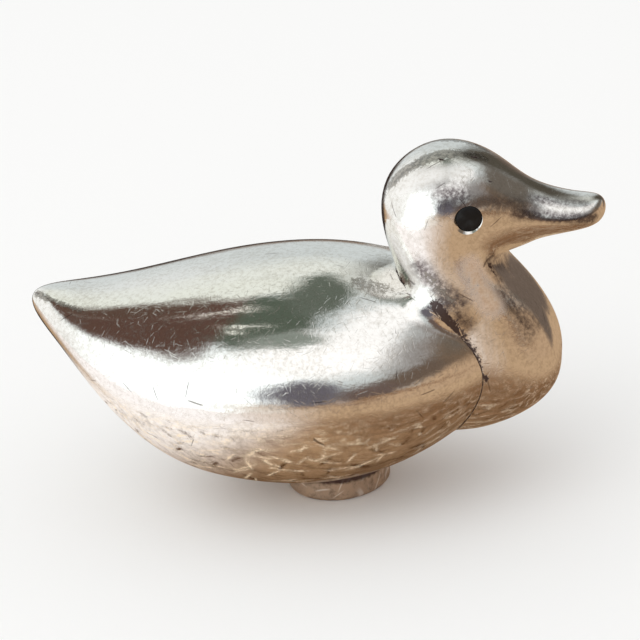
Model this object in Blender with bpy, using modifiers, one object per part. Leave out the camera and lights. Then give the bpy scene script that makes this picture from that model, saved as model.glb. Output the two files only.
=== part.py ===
"""Silver duck figurine.

Two polished castings meet in a saddle joint: the body with its tail, and the breast with its neck,
head and bill. Two steel pins hold them together. The duck stands on one round plug foot, which a
countersunk screw holds in a pocket of the belly. A black bead sits in each drilled eye socket.

The duck faces +X, its left side is +Y, and it stands on Z = 0. Sizes are in millimetres.
"""
import math

import bmesh
import bpy
import numpy as np
from mathutils import Matrix, Vector

MM = 0.001

# Gap that every fitted face keeps to its neighbour
SEAT_GAP = 0.3

# Reach of the tail and the bill from the middle, half the full width, and height of the crown
TAIL_TIP = -40.3
BILL_TIP = 40.3
HALF_WIDTH = 19.4
CROWN = 49.6

# Body sections from the tail to the nose: place along the body, top, underside, half width
BODY_SECTIONS = (
    (TAIL_TIP, 33.2, 26.4, 2.9),
    (-36.5, 32.1, 23.6, 6.5),
    (-31.0, 31.8, 16.4, 11.0),
    (-23.0, 32.8, 7.9, 15.6),
    (-12.0, 34.6, 3.3, 18.8),
    (0.0, 35.2, 2.3, HALF_WIDTH),
    (12.0, 33.9, 4.4, 18.3),
    (26.8, 31.2, 9.1, 16.1),
)
# How squarely the body's two ends close: a higher power is a blunter end
TAIL_POWER = 14.0
NOSE_POWER = 3.35

# Sections of the second casting: rear or upper point, front or lower point, half width, squareness
# (2 is an ellipse), and how far the sides lie towards the front
NECK_SECTIONS = (
    (15.5, 7.4, 27.2, 9.6, 8.6, 2.2, 0.0),             # underside of the breast
    (8.0, 10.4, 32.2, 12.2, 10.4, 2.4, 0.05),          # low breast
    (11.9, 17.0, 34.4, 18.0, 10.8, 2.7, 0.1),          # full breast
    (12.2, 28.4, 31.7, 25.2, 9.7, 2.7, 0.15),          # top of the breast
    (11.0, 35.4, 28.0, 29.8, 9.4, 2.8, 0.2),           # neck
    (10.7, 44.2, 26.2, 32.9, 9.0, 2.5, 0.05),          # jaw
    (17.4, CROWN, 26.4, 34.4, 8.6, 2.2, -0.1),         # back of the head
    (25.0, 48.2, 29.2, 35.3, 6.6, 2.0, -0.1),          # forehead
    (30.4, 44.2, 32.1, 36.3, 5.0, 1.9, 0.0),           # root of the bill
    (36.4, 42.1, 37.0, 37.1, 4.2, 2.0, 0.0),           # middle of the bill
    (BILL_TIP, 42.7, BILL_TIP, 37.3, 3.4, 2.0, 0.0),   # tip of the bill
)
BREAST_POWER = 3.2
BILL_POWER = 9.0

# Eyes: row among the neck's sections, turn round the section from its front, bead and how deep it sits
EYE_ROW = 6.15
EYE_TURN = 85.0
EYE_D = 3.0
EYE_LENGTH = 2.4
EYE_DOME = 0.5
EYE_SINK = 0.4

# Joint pins between the castings, each placed at the rear point of one row of the neck's sections
PIN_D = 3.0
PIN_LENGTH = 12.0
PIN_EDGE = 0.3
LOWER_PIN_ROW = 2
UPPER_PIN_ROW = 3
REAR_TURN = 180.0

# Round plug foot under the belly
FOOT_X = 0.5
FOOT_D = 14.7
FOOT_HEIGHT = 4.0
FOOT_EDGE = 0.5

# Countersunk foot screw and its driver slot
SCREW_D = 3.0
SCREW_HEAD_D = 5.6
SCREW_LENGTH = 10.0
SCREW_RIM = 0.2
SCREW_RECESS = 0.3
SLOT_WIDTH = 0.8
SLOT_DEPTH = 0.7

# Number of sections and of points around each in the skins
BODY_STEPS = 38
BODY_SIDES = 52
NECK_STEPS = 52
NECK_SIDES = 40
ROUND_STEPS = 40
SMALL_STEPS = 24
EDGE_STEPS = 3

# Reach of a cutter past the skin that it opens
CUTTER_REACH = 6.0


def clear_scene():
    """Remove what the scene holds."""
    for thing in list(bpy.data.objects):
        bpy.data.objects.remove(thing, do_unlink=True)


def new_collection(name):
    """Make a collection in the scene."""
    group = bpy.data.collections.new(name)
    bpy.context.scene.collection.children.link(group)
    return group


def metal(name, color, roughness):
    """Make a metal with one colour."""
    return finish(name, color, roughness, 1.0)


def finish(name, color, roughness, metallic):
    """Make a Principled material."""
    material = bpy.data.materials.new(name)
    material.use_nodes = True
    shader = material.node_tree.nodes["Principled BSDF"]
    shader.inputs["Base Color"].default_value = (*color, 1.0)
    shader.inputs["Roughness"].default_value = roughness
    shader.inputs["Metallic"].default_value = metallic
    return material


def smooth_curve(knots, values):
    """Return the natural cubic curve that runs through the values at the knots."""
    gaps = np.diff(knots)
    slopes = np.diff(values) / gaps
    count = len(knots)
    system = np.eye(count)
    target = np.zeros(count)
    for i in range(1, count - 1):
        system[i, i - 1:i + 2] = (gaps[i - 1], 2 * (gaps[i - 1] + gaps[i]), gaps[i])
        target[i] = 6 * (slopes[i] - slopes[i - 1])
    bends = np.linalg.solve(system, target)

    def value_at(place):
        """Read the curve at one place."""
        i = int(np.clip(np.searchsorted(knots, place) - 1, 0, count - 2))
        before = (knots[i + 1] - place) / gaps[i]
        after = (place - knots[i]) / gaps[i]
        line = before * values[i] + after * values[i + 1]
        bow = (before ** 3 - before) * bends[i] + (after ** 3 - after) * bends[i + 1]
        return float(line + bow * gaps[i] ** 2 / 6)

    return value_at


def section_curves(rows, knots):
    """Return one smooth curve for each column of a list of sections."""
    return [smooth_curve(knots, np.array(column)) for column in zip(*rows)]


def end_share(reach, start_power, end_power):
    """Return how much of a section is left at a reach from -1 to 1 between two rounded ends."""
    power = start_power if reach < 0 else end_power
    return math.sqrt(max(0.0, 1.0 - abs(reach) ** power))


def body_ring(reach, turns):
    """Return the body's section at a reach from -1 at the tail to 1 at the nose."""
    tail = BODY_SECTIONS[0][0]
    nose = BODY_SECTIONS[-1][0]
    place = (tail + nose) / 2 + (nose - tail) / 2 * reach
    top, underside, half_width = (curve(place) for curve in BODY_CURVES[1:])
    share = end_share(reach, TAIL_POWER, NOSE_POWER)
    middle = (top + underside) / 2
    half_height = (top - underside) / 2 * share
    return [Vector((place, half_width * share * math.cos(turn), middle + half_height * math.sin(turn)))
            for turn in turns]


def neck_ring(reach, turns):
    """Return the second casting's section at a reach from -1 under the breast to 1 at the bill."""
    row = (len(NECK_SECTIONS) - 1) * (1 + reach) / 2
    rear_x, rear_z, front_x, front_z, half_width, power, lean = (curve(row) for curve in NECK_CURVES)
    share = end_share(reach, BREAST_POWER, BILL_POWER)
    middle = Vector((rear_x + front_x, 0.0, rear_z + front_z)) / 2
    ahead = Vector((front_x - rear_x, 0.0, front_z - rear_z)) / 2 * share
    aside = Vector((0.0, half_width * share, 0.0))
    ring = []
    for turn in turns:
        along, across = squared(turn, power)
        ring.append(middle + ahead * (along + lean * across ** 2) + aside * across)
    return ring


def squared(turn, power):
    """Return the point at a turn round an outline of half size 1: power 2 is round, more is squarer."""
    along = math.cos(turn)
    across = math.sin(turn)
    reach = (abs(along) ** power + abs(across) ** power) ** (-1 / power)
    return along * reach, across * reach


def neck_point(row, turn):
    """Return the point of the second casting's skin at a row of its sections, turned from the front."""
    reach = 2 * row / (len(NECK_SECTIONS) - 1) - 1
    return neck_ring(reach, [math.radians(turn)])[0]


def loft(name, ring, steps, sides):
    """Skin a row of sections, closed by a point at each end."""
    turns = [2 * math.pi * side / sides for side in range(sides)]
    sweep = [math.sin(math.pi * (step / steps - 0.5)) for step in range(1, steps)]
    skin = bmesh.new()
    rows = [[skin.verts.new(point * MM) for point in ring(reach, turns)] for reach in sweep]
    for near, far in zip(rows, rows[1:]):
        for side in range(sides):
            other = (side + 1) % sides
            skin.faces.new((near[side], near[other], far[other], far[side]))
    for reach, row in ((-1.0, rows[0]), (1.0, rows[-1])):
        tip = skin.verts.new(ring(reach, [0.0])[0] * MM)
        for side in range(sides):
            skin.faces.new((row[side], row[(side + 1) % sides], tip))
    bmesh.ops.recalc_face_normals(skin, faces=skin.faces)
    return mesh_object(name, skin)


def mesh_object(name, shape):
    """Turn a bmesh into a smooth shaded object."""
    mesh = bpy.data.meshes.new(name)
    shape.to_mesh(mesh)
    shape.free()
    mesh.shade_smooth()
    return bpy.data.objects.new(name, mesh)


def swell(thing, gap):
    """Move an object's skin outwards by a gap."""
    skin = bmesh.new()
    skin.from_mesh(thing.data)
    skin.normal_update()
    moves = [vert.normal * gap * MM for vert in skin.verts]
    for vert, move in zip(skin.verts, moves):
        vert.co += move
    skin.to_mesh(thing.data)
    skin.free()


def rod(name, diameter, length, middle, axis, edge=0.0):
    """Make a round rod about its middle, along an axis, with its rims cut back by an edge."""
    radius = diameter / 2
    profile = [(0.0, length / 2), (radius - edge, length / 2), (radius, length / 2 - edge),
               (radius, edge - length / 2), (radius - edge, -length / 2), (0.0, -length / 2)]
    if edge == 0.0:
        profile = [profile[0], profile[1], profile[4], profile[5]]
    thing = turned(name, profile, SMALL_STEPS)
    thing.location = middle * MM
    thing.rotation_euler = axis.to_track_quat("Z", "Y").to_euler()
    return thing


def turned(name, profile, steps, ring=False):
    """Turn a profile of radius and height, top to bottom, about the vertical axis."""
    points = [(radius * MM, 0.0, height * MM) for radius, height in profile]
    edges = [(i, i + 1) for i in range(len(points) - 1)]
    if ring:
        edges.append((len(points) - 1, 0))
    mesh = bpy.data.meshes.new(name)
    mesh.from_pydata(points, edges, [])
    thing = bpy.data.objects.new(name, mesh)
    turn = thing.modifiers.new("turn", "SCREW")
    turn.axis = "Z"
    turn.steps = steps
    turn.render_steps = steps
    turn.use_merge_vertices = True
    turn.merge_threshold = 0.00001
    turn.use_smooth_shade = True
    return thing


def rounded_edge(radius, height, edge):
    """Return the profile points that round a rim down to a height."""
    angles = [math.pi / 2 * step / EDGE_STEPS for step in range(EDGE_STEPS + 1)]
    return [(radius - edge + edge * math.cos(angle), height + edge - edge * math.sin(angle))
            for angle in angles]


def cut(thing, cutter):
    """Cut one object out of another."""
    knife = thing.modifiers.new(cutter.name, "BOOLEAN")
    knife.operation = "DIFFERENCE"
    knife.solver = "EXACT"
    knife.object = cutter


def add_part(thing, material):
    """Put a piece of the duck in its collection and give it its material."""
    thing.data.materials.append(material)
    PARTS.objects.link(thing)
    thing.parent = STAND
    return thing


def add_cutter(thing):
    """Put a cutter in its collection, hidden from renders."""
    thing.hide_render = True
    thing.display_type = "WIRE"
    CUTTERS.objects.link(thing)
    return thing


def make_pins(body, breast):
    """Pin the two castings together, each pin in one hole through the joint."""
    along = Vector((1.0, 0.0, 0.0))
    for name, row in (("lower_joint_pin", LOWER_PIN_ROW), ("upper_joint_pin", UPPER_PIN_ROW)):
        middle = neck_point(row, REAR_TURN)
        add_part(rod(name, PIN_D, PIN_LENGTH, middle, along, PIN_EDGE), STEEL)
        hole = rod(name + "_hole", PIN_D + 2 * SEAT_GAP, PIN_LENGTH + 2 * SEAT_GAP, middle, along)
        add_cutter(hole)
        cut(body, hole)
        cut(breast, hole)


def make_eye(name, side, breast):
    """Set a domed bead in a socket that is drilled straight in from one side of the head."""
    skin = neck_point(EYE_ROW, EYE_TURN)
    outward = Vector((0.0, side, 0.0))
    mouth = Vector((skin.x, side * skin.y, skin.z))
    radius = EYE_D / 2
    angles = [math.pi / 2 * step / EDGE_STEPS for step in range(EDGE_STEPS + 1)]
    dome = [(radius * math.sin(angle), EYE_DOME * (math.cos(angle) - 1)) for angle in angles]
    bead = turned(name, dome + [(radius, -EYE_LENGTH), (0.0, -EYE_LENGTH)], SMALL_STEPS)
    bead.location = (mouth - outward * EYE_SINK) * MM
    bead.rotation_euler = outward.to_track_quat("Z", "Y").to_euler()
    add_part(bead, BLACK)
    depth = EYE_SINK + EYE_LENGTH + SEAT_GAP
    middle = mouth + outward * (CUTTER_REACH - depth) / 2
    socket = rod(name + "_socket", EYE_D + 2 * SEAT_GAP, depth + CUTTER_REACH, middle, outward)
    cut(breast, add_cutter(socket))


def make_foot(body):
    """Plug the foot into a round pocket of the belly."""
    hole = SCREW_D / 2 + SEAT_GAP
    sink = SCREW_HEAD_D / 2 + SEAT_GAP
    rim_top = SCREW_RECESS + SCREW_RIM
    profile = [(hole, FOOT_HEIGHT), (FOOT_D / 2, FOOT_HEIGHT)]
    profile += rounded_edge(FOOT_D / 2, 0.0, FOOT_EDGE)
    profile += [(sink, 0.0), (sink, rim_top), (hole, rim_top + sink - hole)]
    foot = turned("foot", profile, ROUND_STEPS, ring=True)
    foot.location = Vector((FOOT_X, 0.0, 0.0)) * MM
    add_part(foot, WORN_SILVER)
    height = FOOT_HEIGHT + SEAT_GAP
    middle = Vector((FOOT_X, 0.0, (height - CUTTER_REACH) / 2))
    pocket = rod("foot_pocket", FOOT_D + 2 * SEAT_GAP, height + CUTTER_REACH, middle, Vector((0, 0, 1)))
    cut(body, add_cutter(pocket))


def make_screw(body):
    """Hold the foot with a countersunk screw that ends in a blind hole of the body."""
    shank = SCREW_D / 2
    head = SCREW_HEAD_D / 2
    tip = SCREW_LENGTH
    profile = [(0.0, tip), (shank - PIN_EDGE, tip), (shank, tip - PIN_EDGE),
               (shank, SCREW_RIM + head - shank), (head, SCREW_RIM), (head, 0.0), (0.0, 0.0)]
    screw = turned("foot_screw", profile, SMALL_STEPS)
    screw.location = Vector((FOOT_X, 0.0, SCREW_RECESS)) * MM
    bpy.ops.mesh.primitive_cube_add(size=1.0)
    slot = bpy.context.object
    slot.name = "driver_slot"
    bpy.context.collection.objects.unlink(slot)
    length = SCREW_HEAD_D + SEAT_GAP
    slot.data.transform(Matrix.Diagonal((length * MM, SLOT_WIDTH * MM, 2 * SLOT_DEPTH * MM, 1.0)))
    slot.location = screw.location
    cut(screw, add_cutter(slot))
    add_part(screw, STEEL)
    depth = SCREW_RECESS + SCREW_LENGTH + SEAT_GAP
    hole = rod("screw_hole", SCREW_D + 2 * SEAT_GAP, depth, Vector((FOOT_X, 0.0, depth / 2)),
               Vector((0, 0, 1)))
    cut(body, add_cutter(hole))


def make_castings():
    """Make the two castings, with the saddle of the body cut to the breast that sits in it."""
    body = loft("body_casting", body_ring, BODY_STEPS, BODY_SIDES)
    breast = loft("head_and_breast_casting", neck_ring, NECK_STEPS, NECK_SIDES)
    saddle = loft("saddle", neck_ring, NECK_STEPS, NECK_SIDES)
    swell(saddle, SEAT_GAP)
    cut(body, add_cutter(saddle))
    return add_part(body, SILVER), add_part(breast, SILVER)


clear_scene()
PARTS = new_collection("silver_duck")
CUTTERS = new_collection("cutters")
STAND = bpy.data.objects.new("duck", None)
PARTS.objects.link(STAND)
SILVER = metal("polished_silver", (0.86, 0.83, 0.78), 0.14)
WORN_SILVER = metal("worn_silver", (0.72, 0.66, 0.58), 0.32)
STEEL = metal("pin_steel", (0.55, 0.55, 0.56), 0.35)
BLACK = finish("eye_black", (0.01, 0.01, 0.012), 0.25, 0.0)
BODY_CURVES = section_curves(BODY_SECTIONS, np.array([row[0] for row in BODY_SECTIONS]))
NECK_CURVES = section_curves(NECK_SECTIONS, np.arange(len(NECK_SECTIONS), dtype=float))

BODY, BREAST = make_castings()
make_pins(BODY, BREAST)
make_foot(BODY)
make_screw(BODY)
for eye_name, eye_side in (("eye_left", 1.0), ("eye_right", -1.0)):
    make_eye(eye_name, eye_side, BREAST)
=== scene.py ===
"""Looks of a small silver duck figurine, laid out as a Blender add-on and run as a script.

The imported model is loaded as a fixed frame. The two castings are skinned again at a fine grain from
the same sections as the solids, blended where they meet, drilled for the eyes and polished.
Lengths are in metres, but the tables of sections and marks are in millimetres.
"""
import math

import bpy
import numpy as np
from mathutils import Matrix, Vector
from mathutils.bvhtree import BVHTree


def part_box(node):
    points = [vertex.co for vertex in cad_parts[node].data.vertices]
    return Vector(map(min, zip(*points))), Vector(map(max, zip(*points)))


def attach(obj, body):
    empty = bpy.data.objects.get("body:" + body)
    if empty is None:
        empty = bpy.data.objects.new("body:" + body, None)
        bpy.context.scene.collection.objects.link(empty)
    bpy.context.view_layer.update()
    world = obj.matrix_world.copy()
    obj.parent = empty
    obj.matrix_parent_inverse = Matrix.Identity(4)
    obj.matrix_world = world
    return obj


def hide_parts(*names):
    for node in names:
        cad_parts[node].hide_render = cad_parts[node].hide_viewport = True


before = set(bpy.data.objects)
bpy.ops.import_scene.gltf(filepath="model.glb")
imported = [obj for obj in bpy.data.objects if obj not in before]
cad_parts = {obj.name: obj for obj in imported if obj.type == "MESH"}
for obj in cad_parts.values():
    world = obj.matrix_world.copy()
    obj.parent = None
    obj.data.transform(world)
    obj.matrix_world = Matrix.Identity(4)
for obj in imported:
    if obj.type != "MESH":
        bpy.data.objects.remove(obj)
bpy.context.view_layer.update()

bl_info = {
    "name": "Silver duck figurine",
    "version": (1, 0, 0),
    "blender": (4, 5, 0),
    "location": "View3D > Sidebar > Duck",
    "description": "Skins, drills, polishes and stages a small silver duck",
    "category": "Object",
}

MM = 0.001

# Blending of the castings: rounds of moving, the least squared slope, and how far past the seam the
# move has faded out, in widths of the blend
BLEND_ROUNDS = 4
LEAST_SLOPE = 0.2
BLEND_REACH = 0.6

# Where a mark starts to fade and where it is gone, in radii of the mark; the marks are wear and painted
# light
MARK_CORE = 0.2
MARK_RIM = 1.8

# Strength of the dirt in the seam, and the widest gap between the skins that is stored, in millimetres
SEAM_DIRT = 0.7
WIDEST_GAP = 2

# How far from the middle the eye drill starts, and how far its cone stands out past the skin
DRILL_START = 0.03
DRILL_RISE = 0.0022

# Sockets of Blender's Mix node for colours
MIX_ONE, MIX_TWO, MIX_RESULT = 6, 7, 2

# Body sections from the tail to the nose: place along the body, top, underside, half width
BODY_SECTIONS = (
    (-40.3, 33.2, 26.4, 2.9),
    (-36.5, 32.1, 23.6, 6.5),
    (-31.0, 31.8, 16.4, 11.0),
    (-23.0, 32.8, 7.9, 15.6),
    (-12.0, 34.6, 3.3, 18.8),
    (0.0, 35.2, 2.3, 19.4),
    (12.0, 33.9, 4.4, 18.3),
    (26.8, 31.2, 9.1, 16.1),
)

# How blunt the ends are: 2 is round, and more is blunter
TAIL_POWER = 14.0
NOSE_POWER = 3.35

# Sections from the breast to the bill: x and z of the rear or upper point, x and z of the front or
# lower point, half width, squareness (2 is an ellipse), and how far the sides lie towards the front
NECK_SECTIONS = (
    (15.5, 7.4, 27.2, 9.6, 8.6, 2.2, 0.0),         # underside of the breast
    (8.0, 10.4, 32.2, 12.2, 10.4, 2.4, 0.05),      # low breast
    (11.9, 17.0, 34.4, 18.0, 10.8, 2.7, 0.1),      # full breast
    (12.2, 28.4, 31.7, 25.2, 9.7, 2.7, 0.15),      # top of the breast
    (11.0, 35.4, 28.0, 29.8, 9.4, 2.8, 0.2),       # neck
    (10.7, 44.2, 26.2, 32.9, 9.0, 2.5, 0.05),      # jaw
    (17.4, 49.6, 26.4, 34.4, 8.6, 2.2, -0.1),      # back of the head
    (25.0, 48.2, 29.2, 35.3, 6.6, 2.0, -0.1),      # forehead
    (30.4, 44.2, 32.1, 36.3, 5.0, 1.9, 0.0),       # root of the bill
    (36.4, 42.1, 37.0, 37.1, 4.2, 2.0, 0.0),       # middle of the bill
    (40.3, 42.7, 40.3, 37.3, 3.4, 2.0, 0.0),       # tip of the bill
)
BREAST_POWER = 3.2
BILL_POWER = 9.0

# Ragged stains of tarnish, partly painted dark reflections, the same on both sides: start, end, radius and
# strength
STAINS_AND_PAINTED_REFLECTIONS = (
    ((10.9, 2.4, 42.6), (12.6, 3.2, 46.4), 0.9, 0.8),     # back of the head
    ((12.6, 3.2, 46.4), (16.0, 3.4, 48.8), 1.2, 0.9),     # crown
    ((16.0, 3.4, 48.8), (20.6, 2.6, 49.7), 1.3, 0.95),
    ((20.6, 2.6, 49.7), (24.6, 1.6, 48.4), 1.0, 0.8),
    ((16.4, 8.9, 34.8), (19.6, 9.6, 31.3), 0.7, 0.6),     # side of the neck
    ((7.0, 6.4, 33.0), (12.2, 7.4, 32.8), 1.7, 0.62),     # back beside the neck
    ((-39.3, 1.0, 31.3), (-37.4, 2.7, 31.1), 0.6, 0.85),  # tip of the tail
    ((-37.4, 2.7, 31.1), (-32.0, 6.0, 30.6), 0.5, 0.65),
)

# Painted dark reflections, as a soft grey film on the skin, in the same way
PAINTED_DARK_REFLECTIONS = (
    ((19.4, 8.1, 46.0), (21.6, 7.8, 45.4), 1.6, 1.1),     # above the eye
    ((21.6, 7.8, 45.4), (26.0, 6.6, 43.8), 1.6, 0.5),
    ((26.0, 6.6, 43.8), (31.0, 4.3, 42.3), 1.1, 0.7),     # towards the bill
    ((28.6, 5.7, 41.8), (33.0, 4.6, 40.8), 0.8, 1.2),     # side of the bill
    ((33.0, 4.6, 40.5), (38.8, 3.2, 39.5), 0.7, 1.2),
    ((30.5, 3.2, 42.7), (37.6, 2.2, 41.6), 0.8, 0.9),     # top of the bill
    ((24.6, 5.8, 35.4), (26.2, 6.0, 32.8), 1.0, 1.1),     # under the chin
    ((25.4, 4.8, 34.6), (26.8, 0.0, 32.2), 1.0, 1.0),
    ((15.6, 8.7, 35.8), (20.4, 9.7, 30.8), 1.3, 1.05),    # side of the neck
    ((18.4, 9.6, 32.0), (21.6, 10.0, 27.6), 0.9, 1.1),
    ((26.4, 7.4, 31.4), (29.5, 7.8, 25.8), 1.25, 0.9),    # throat
    ((26.8, 6.4, 31.0), (30.4, 6.3, 25.6), 0.7, 0.8),
)

# Places that are rubbed matt, whose whitish diffuse silver paints a highlight, in the same way
RUBBED_AND_PAINTED_HIGHLIGHTS = (
    ((13.6, 5.2, 46.4), (18.6, 6.0, 47.8), 1.5, 1.3),     # side of the crown
    ((18.6, 6.0, 47.8), (21.4, 5.6, 48.2), 1.3, 0.9),
    ((12.2, 6.3, 38.8), (13.7, 7.7, 35.6), 1.2, 1.3),     # back of the neck
    ((13.7, 7.7, 35.6), (14.4, 8.2, 33.8), 1.0, 1.0),
    ((8.0, 6.8, 33.0), (12.0, 8.2, 32.2), 1.4, 0.5),      # back beside the neck
)

# Painted warm reflection: a matt yellowish tone that stands for the mirrored warm table top, in the same
# way
PAINTED_WARM_REFLECTIONS = (
    ((22.3, 8.8, 35.4), (24.8, 9.0, 30.2), 1.5, 1.0),     # front of the neck
)

# A fleck of dirt on the back, in the same way
BODY_DIRT = (
    ((9.2, 2.6, 34.5), (10.0, 3.3, 34.7), 0.35, 0.9),
)

# Dirt in the corner under the shoulder, darker marks under the chin, and flecks on the crown, in the same
# way
NECK_DIRT = (
    ((17.3, 9.7, 30.7), (22.0, 10.3, 23.9), 0.85, 0.95),  # under the shoulder
    ((22.5, 9.8, 22.9), (22.8, 9.8, 21.6), 0.3, 0.85),
    ((23.1, 9.8, 20.1), (23.4, 9.8, 19.3), 0.4, 0.9),
    ((24.8, 6.2, 34.9), (25.4, 6.3, 33.6), 0.45, 0.95),   # under the chin
    ((18.7, 3.7, 49.4), (19.5, 4.2, 49.2), 0.22, 0.9),    # crown
    ((23.1, 2.5, 48.8), (24.0, 2.1, 48.6), 0.22, 0.9),
    ((25.2, 5.3, 46.5), (25.6, 5.1, 46.2), 0.2, 0.75),
)

# What the metal mirrors: direction from the camera's side towards the bill, height above the
# horizon, half width, half height, softness, tilt (all in degrees but softness), and screen colour.
# Later ones lie over earlier ones.
ROOM = (
    (-42, 8, 42, 40, 0.25, 0, (292, 300, 302)),      # window
    (-108, 13, 44, 40, 0.3, 0, (254, 255, 254)),     # pale wall beside it
    (-168, 54, 30, 18, 0.6, 0, (234, 238, 232)),     # bright part of the far wall
    (-52, 73.6, 25, 15, 0.15, -38, (84, 94, 82)),    # ceiling
    (180, 76, 9, 21, 0.2, 0, (96, 104, 94)),         # its far end
    (12, 46, 30, 22, 0.35, 15, (270, 270, 270)),     # glow of the window on the ceiling
    (65, 66, 28, 11, 0.4, 10, (262, 262, 262)),      # the glow's end
    (62, 36, 32, 14, 0.6, 28, (150, 146, 144)),      # shelf
    (95, -3, 58, 24, 0.2, 0, (188, 158, 128)),       # low wall
    (22, -9, 42, 7, 0.4, 0, (188, 158, 128)),        # edge of the table
    (50, 15, 40, 9.5, 0.4, 22, (104, 88, 76)),       # rail
    (80, 27, 15, 15, 0.5, 0, (118, 96, 76)),         # warm wall
    (114, 33, 34, 14, 0.5, -6, (104, 97, 89)),       # dark shelf
    (156, 18, 15, 36, 0.4, 0, (80, 75, 66)),         # dark corner
    (152, -8, 24, 16, 0.3, 0, (108, 94, 84)),        # back of the room
    (188, -14, 22, 12, 0.4, 0, (150, 132, 118)),     # its left part
    (-1, 6, 14, 13.5, 0.4, 0, (104, 100, 108)),      # dark chair
    (22, 2, 13, 8.5, 0.35, 14, (104, 88, 82)),       # its side
    (-88, 60.5, 34, 9.5, 0.25, -21, (90, 67, 58)),   # beam
    (-122, 56, 8, 6, 0.25, 0, (90, 70, 60)),         # its end
    (-146, 58.5, 9, 11.5, 0.3, 0, (234, 238, 230)),  # bright wall past it
    (-14, 61, 11, 7.5, 0.5, 0, (134, 142, 134)),     # dim edge of the ceiling
    (-106, 69, 1.0, 6.5, 0.5, 3, (285, 282, 272)),   # strips of light on the ceiling
    (-60, 70, 6.0, 0.9, 0.5, 33, (290, 290, 280)),
    (-54, 65, 2.8, 0.6, 0.5, 20, (285, 285, 275)),
)

# A bright and a dark oval on the table top far from the duck, in the same way but with no colour
FAR_BRIGHT = (-62, -24, 45, 22, 0.35, 0)
FAR_DARK = (-158, -22, 20, 18, 0.3, 0)

FOOT_LOW, FOOT_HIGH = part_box("foot")
EYE_LOW, EYE_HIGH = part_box("eye_left")


def length(name, description, default):
    """Make a length property."""
    return bpy.props.FloatProperty(name=name, description=description, default=default, min=0.0,
                                   unit="LENGTH")


def number(name, description, default):
    """Make a property for how many sections or points a skin has."""
    return bpy.props.IntProperty(name=name, description=description, default=default, min=12)


def angle(name, description, degrees):
    """Make an angle property from degrees."""
    return bpy.props.FloatProperty(name=name, description=description, default=math.radians(degrees),
                                   subtype="ANGLE")


def share(name, description, default):
    """Make a property from 0 to 1."""
    return bpy.props.FloatProperty(name=name, description=description, default=default, min=0.0,
                                   max=1.0, subtype="FACTOR")


def from_screen(*values):
    """Turn screen values of 0 to 255 into a linear colour."""
    parts = [value / 255 for value in values]
    return tuple(part / 12.92 if part <= 0.04045 else ((part + 0.055) / 1.055) ** 2.4 for part in parts)


def tint(name, description, default):
    """Make a colour property from a linear colour."""
    return bpy.props.FloatVectorProperty(name=name, description=description, size=3, min=0.0, max=2.0,
                                         default=default, subtype="COLOR")


def shade(name, description, default):
    """Make a colour property from screen values of 0 to 255."""
    return tint(name, description, from_screen(*default))


class DuckCastingSizes(bpy.types.PropertyGroup):
    """Grain and blending of the two castings."""
    body_rows: number("Body rows", "Sections along the body", 170)
    body_sides: number("Body sides", "Points around the body", 190)
    neck_rows: number("Neck rows", "Sections from the breast to the bill", 190)
    neck_sides: number("Neck sides", "Points around the neck", 150)
    shoulder_blend: length("Shoulder blend", "Width of the blend where the neck runs into the back", 0.006)
    seam_blend: length("Seam blend", "Width of the blend along the lower seam", 0.0003)
    blend_low: length("Blend start", "Height where the wide blend starts", 0.0245)
    blend_high: length("Blend end", "Height where the blend has its full width", 0.031)
    crease_half: length("Crease", "Half width of the sharp crease behind the neck", 0.005)
    crease_end: length("Crease end", "Half width where the crease has run out", 0.0092)


class DuckEyeSizes(bpy.types.PropertyGroup):
    """Drilled eye sockets and their beads."""
    bore: length("Bore", "Diameter of the drilled socket", 0.0036)
    bead: length("Bead", "Diameter of the black bead", 0.0035)
    depth: length("Depth", "Depth of the socket below the skin", 0.0026)
    rim: length("Rim", "Width of the broken edge round the socket", 0.00025)
    crown: length("Crown", "Height of the bead's dome", 0.00025)
    shank: length("Shank", "How far the bead reaches down into the socket", 0.0018)
    lift: length("Lift", "How far the bead stands out past its solid", 0.0003)
    turn: angle("Turn", "Turn of the eyes towards the bill", 12.0)


class DuckFootSizes(bpy.types.PropertyGroup):
    """Edge and screw hole of the round foot."""
    edge: length("Edge", "Radius of the rounded lower edge", 0.0006)
    bore: length("Bore", "Diameter of the screw's bore", 0.0036)
    sink: length("Countersink", "Diameter of the countersink", 0.0062)
    land: length("Land", "Height of the countersink's straight part", 0.0005)


class DuckFinish(bpy.types.PropertyGroup):
    """Colours and wear of the metal and the beads, with the colours of painted reflections on the silver.
    """
    silver: shade("Silver", "Colour of polished silver", (250, 248, 244))
    dull: shade("Dull silver", "Colour of silver that fine wear has dulled", (206, 200, 190))
    # Tarnish colour, also used for painted dark reflections
    tarnish_and_painted_reflection: shade("Tarnish", "Colour of tarnish on the skin", (84, 80, 74))
    # Painted dark reflection: a grey tone that stands for a dark mirrored patch
    painted_dark_reflection: shade("Film", "Colour of silver under a soft grey film", (124, 117, 118))
    # Painted warm reflection: a yellowish tone that stands for the mirrored warm table top
    painted_warm_reflection: shade("Yellowed polish", "Colour of silver under yellowed polish", (222, 186, 148))
    # The dirt colour also paints the shadow on the top of the foot under the belly
    dirt: shade("Dirt", "Colour of the dirt in seams", (70, 50, 50))
    worn: shade("Worn silver", "Colour of the rubbed foot", (206, 184, 162))
    rub: tint("Rub", "Colour of the bright rubs on the foot", (0.95, 0.9, 0.84))
    steel: shade("Steel", "Colour of the screw and pins", (180, 180, 184))
    groove: tint("Groove", "Colour of the turning marks in the steel", (0.3, 0.3, 0.31))
    bead: shade("Bead", "Colour of the beads", (10, 11, 13))
    bloom: tint("Bloom", "Colour of the bloom on the beads", (0.03, 0.034, 0.036))
    polish: share("Polish", "Roughness of the polished skin", 0.07)
    scratch_width: length("Scratch width", "Half width of the scratches", 0.00006)


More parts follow.
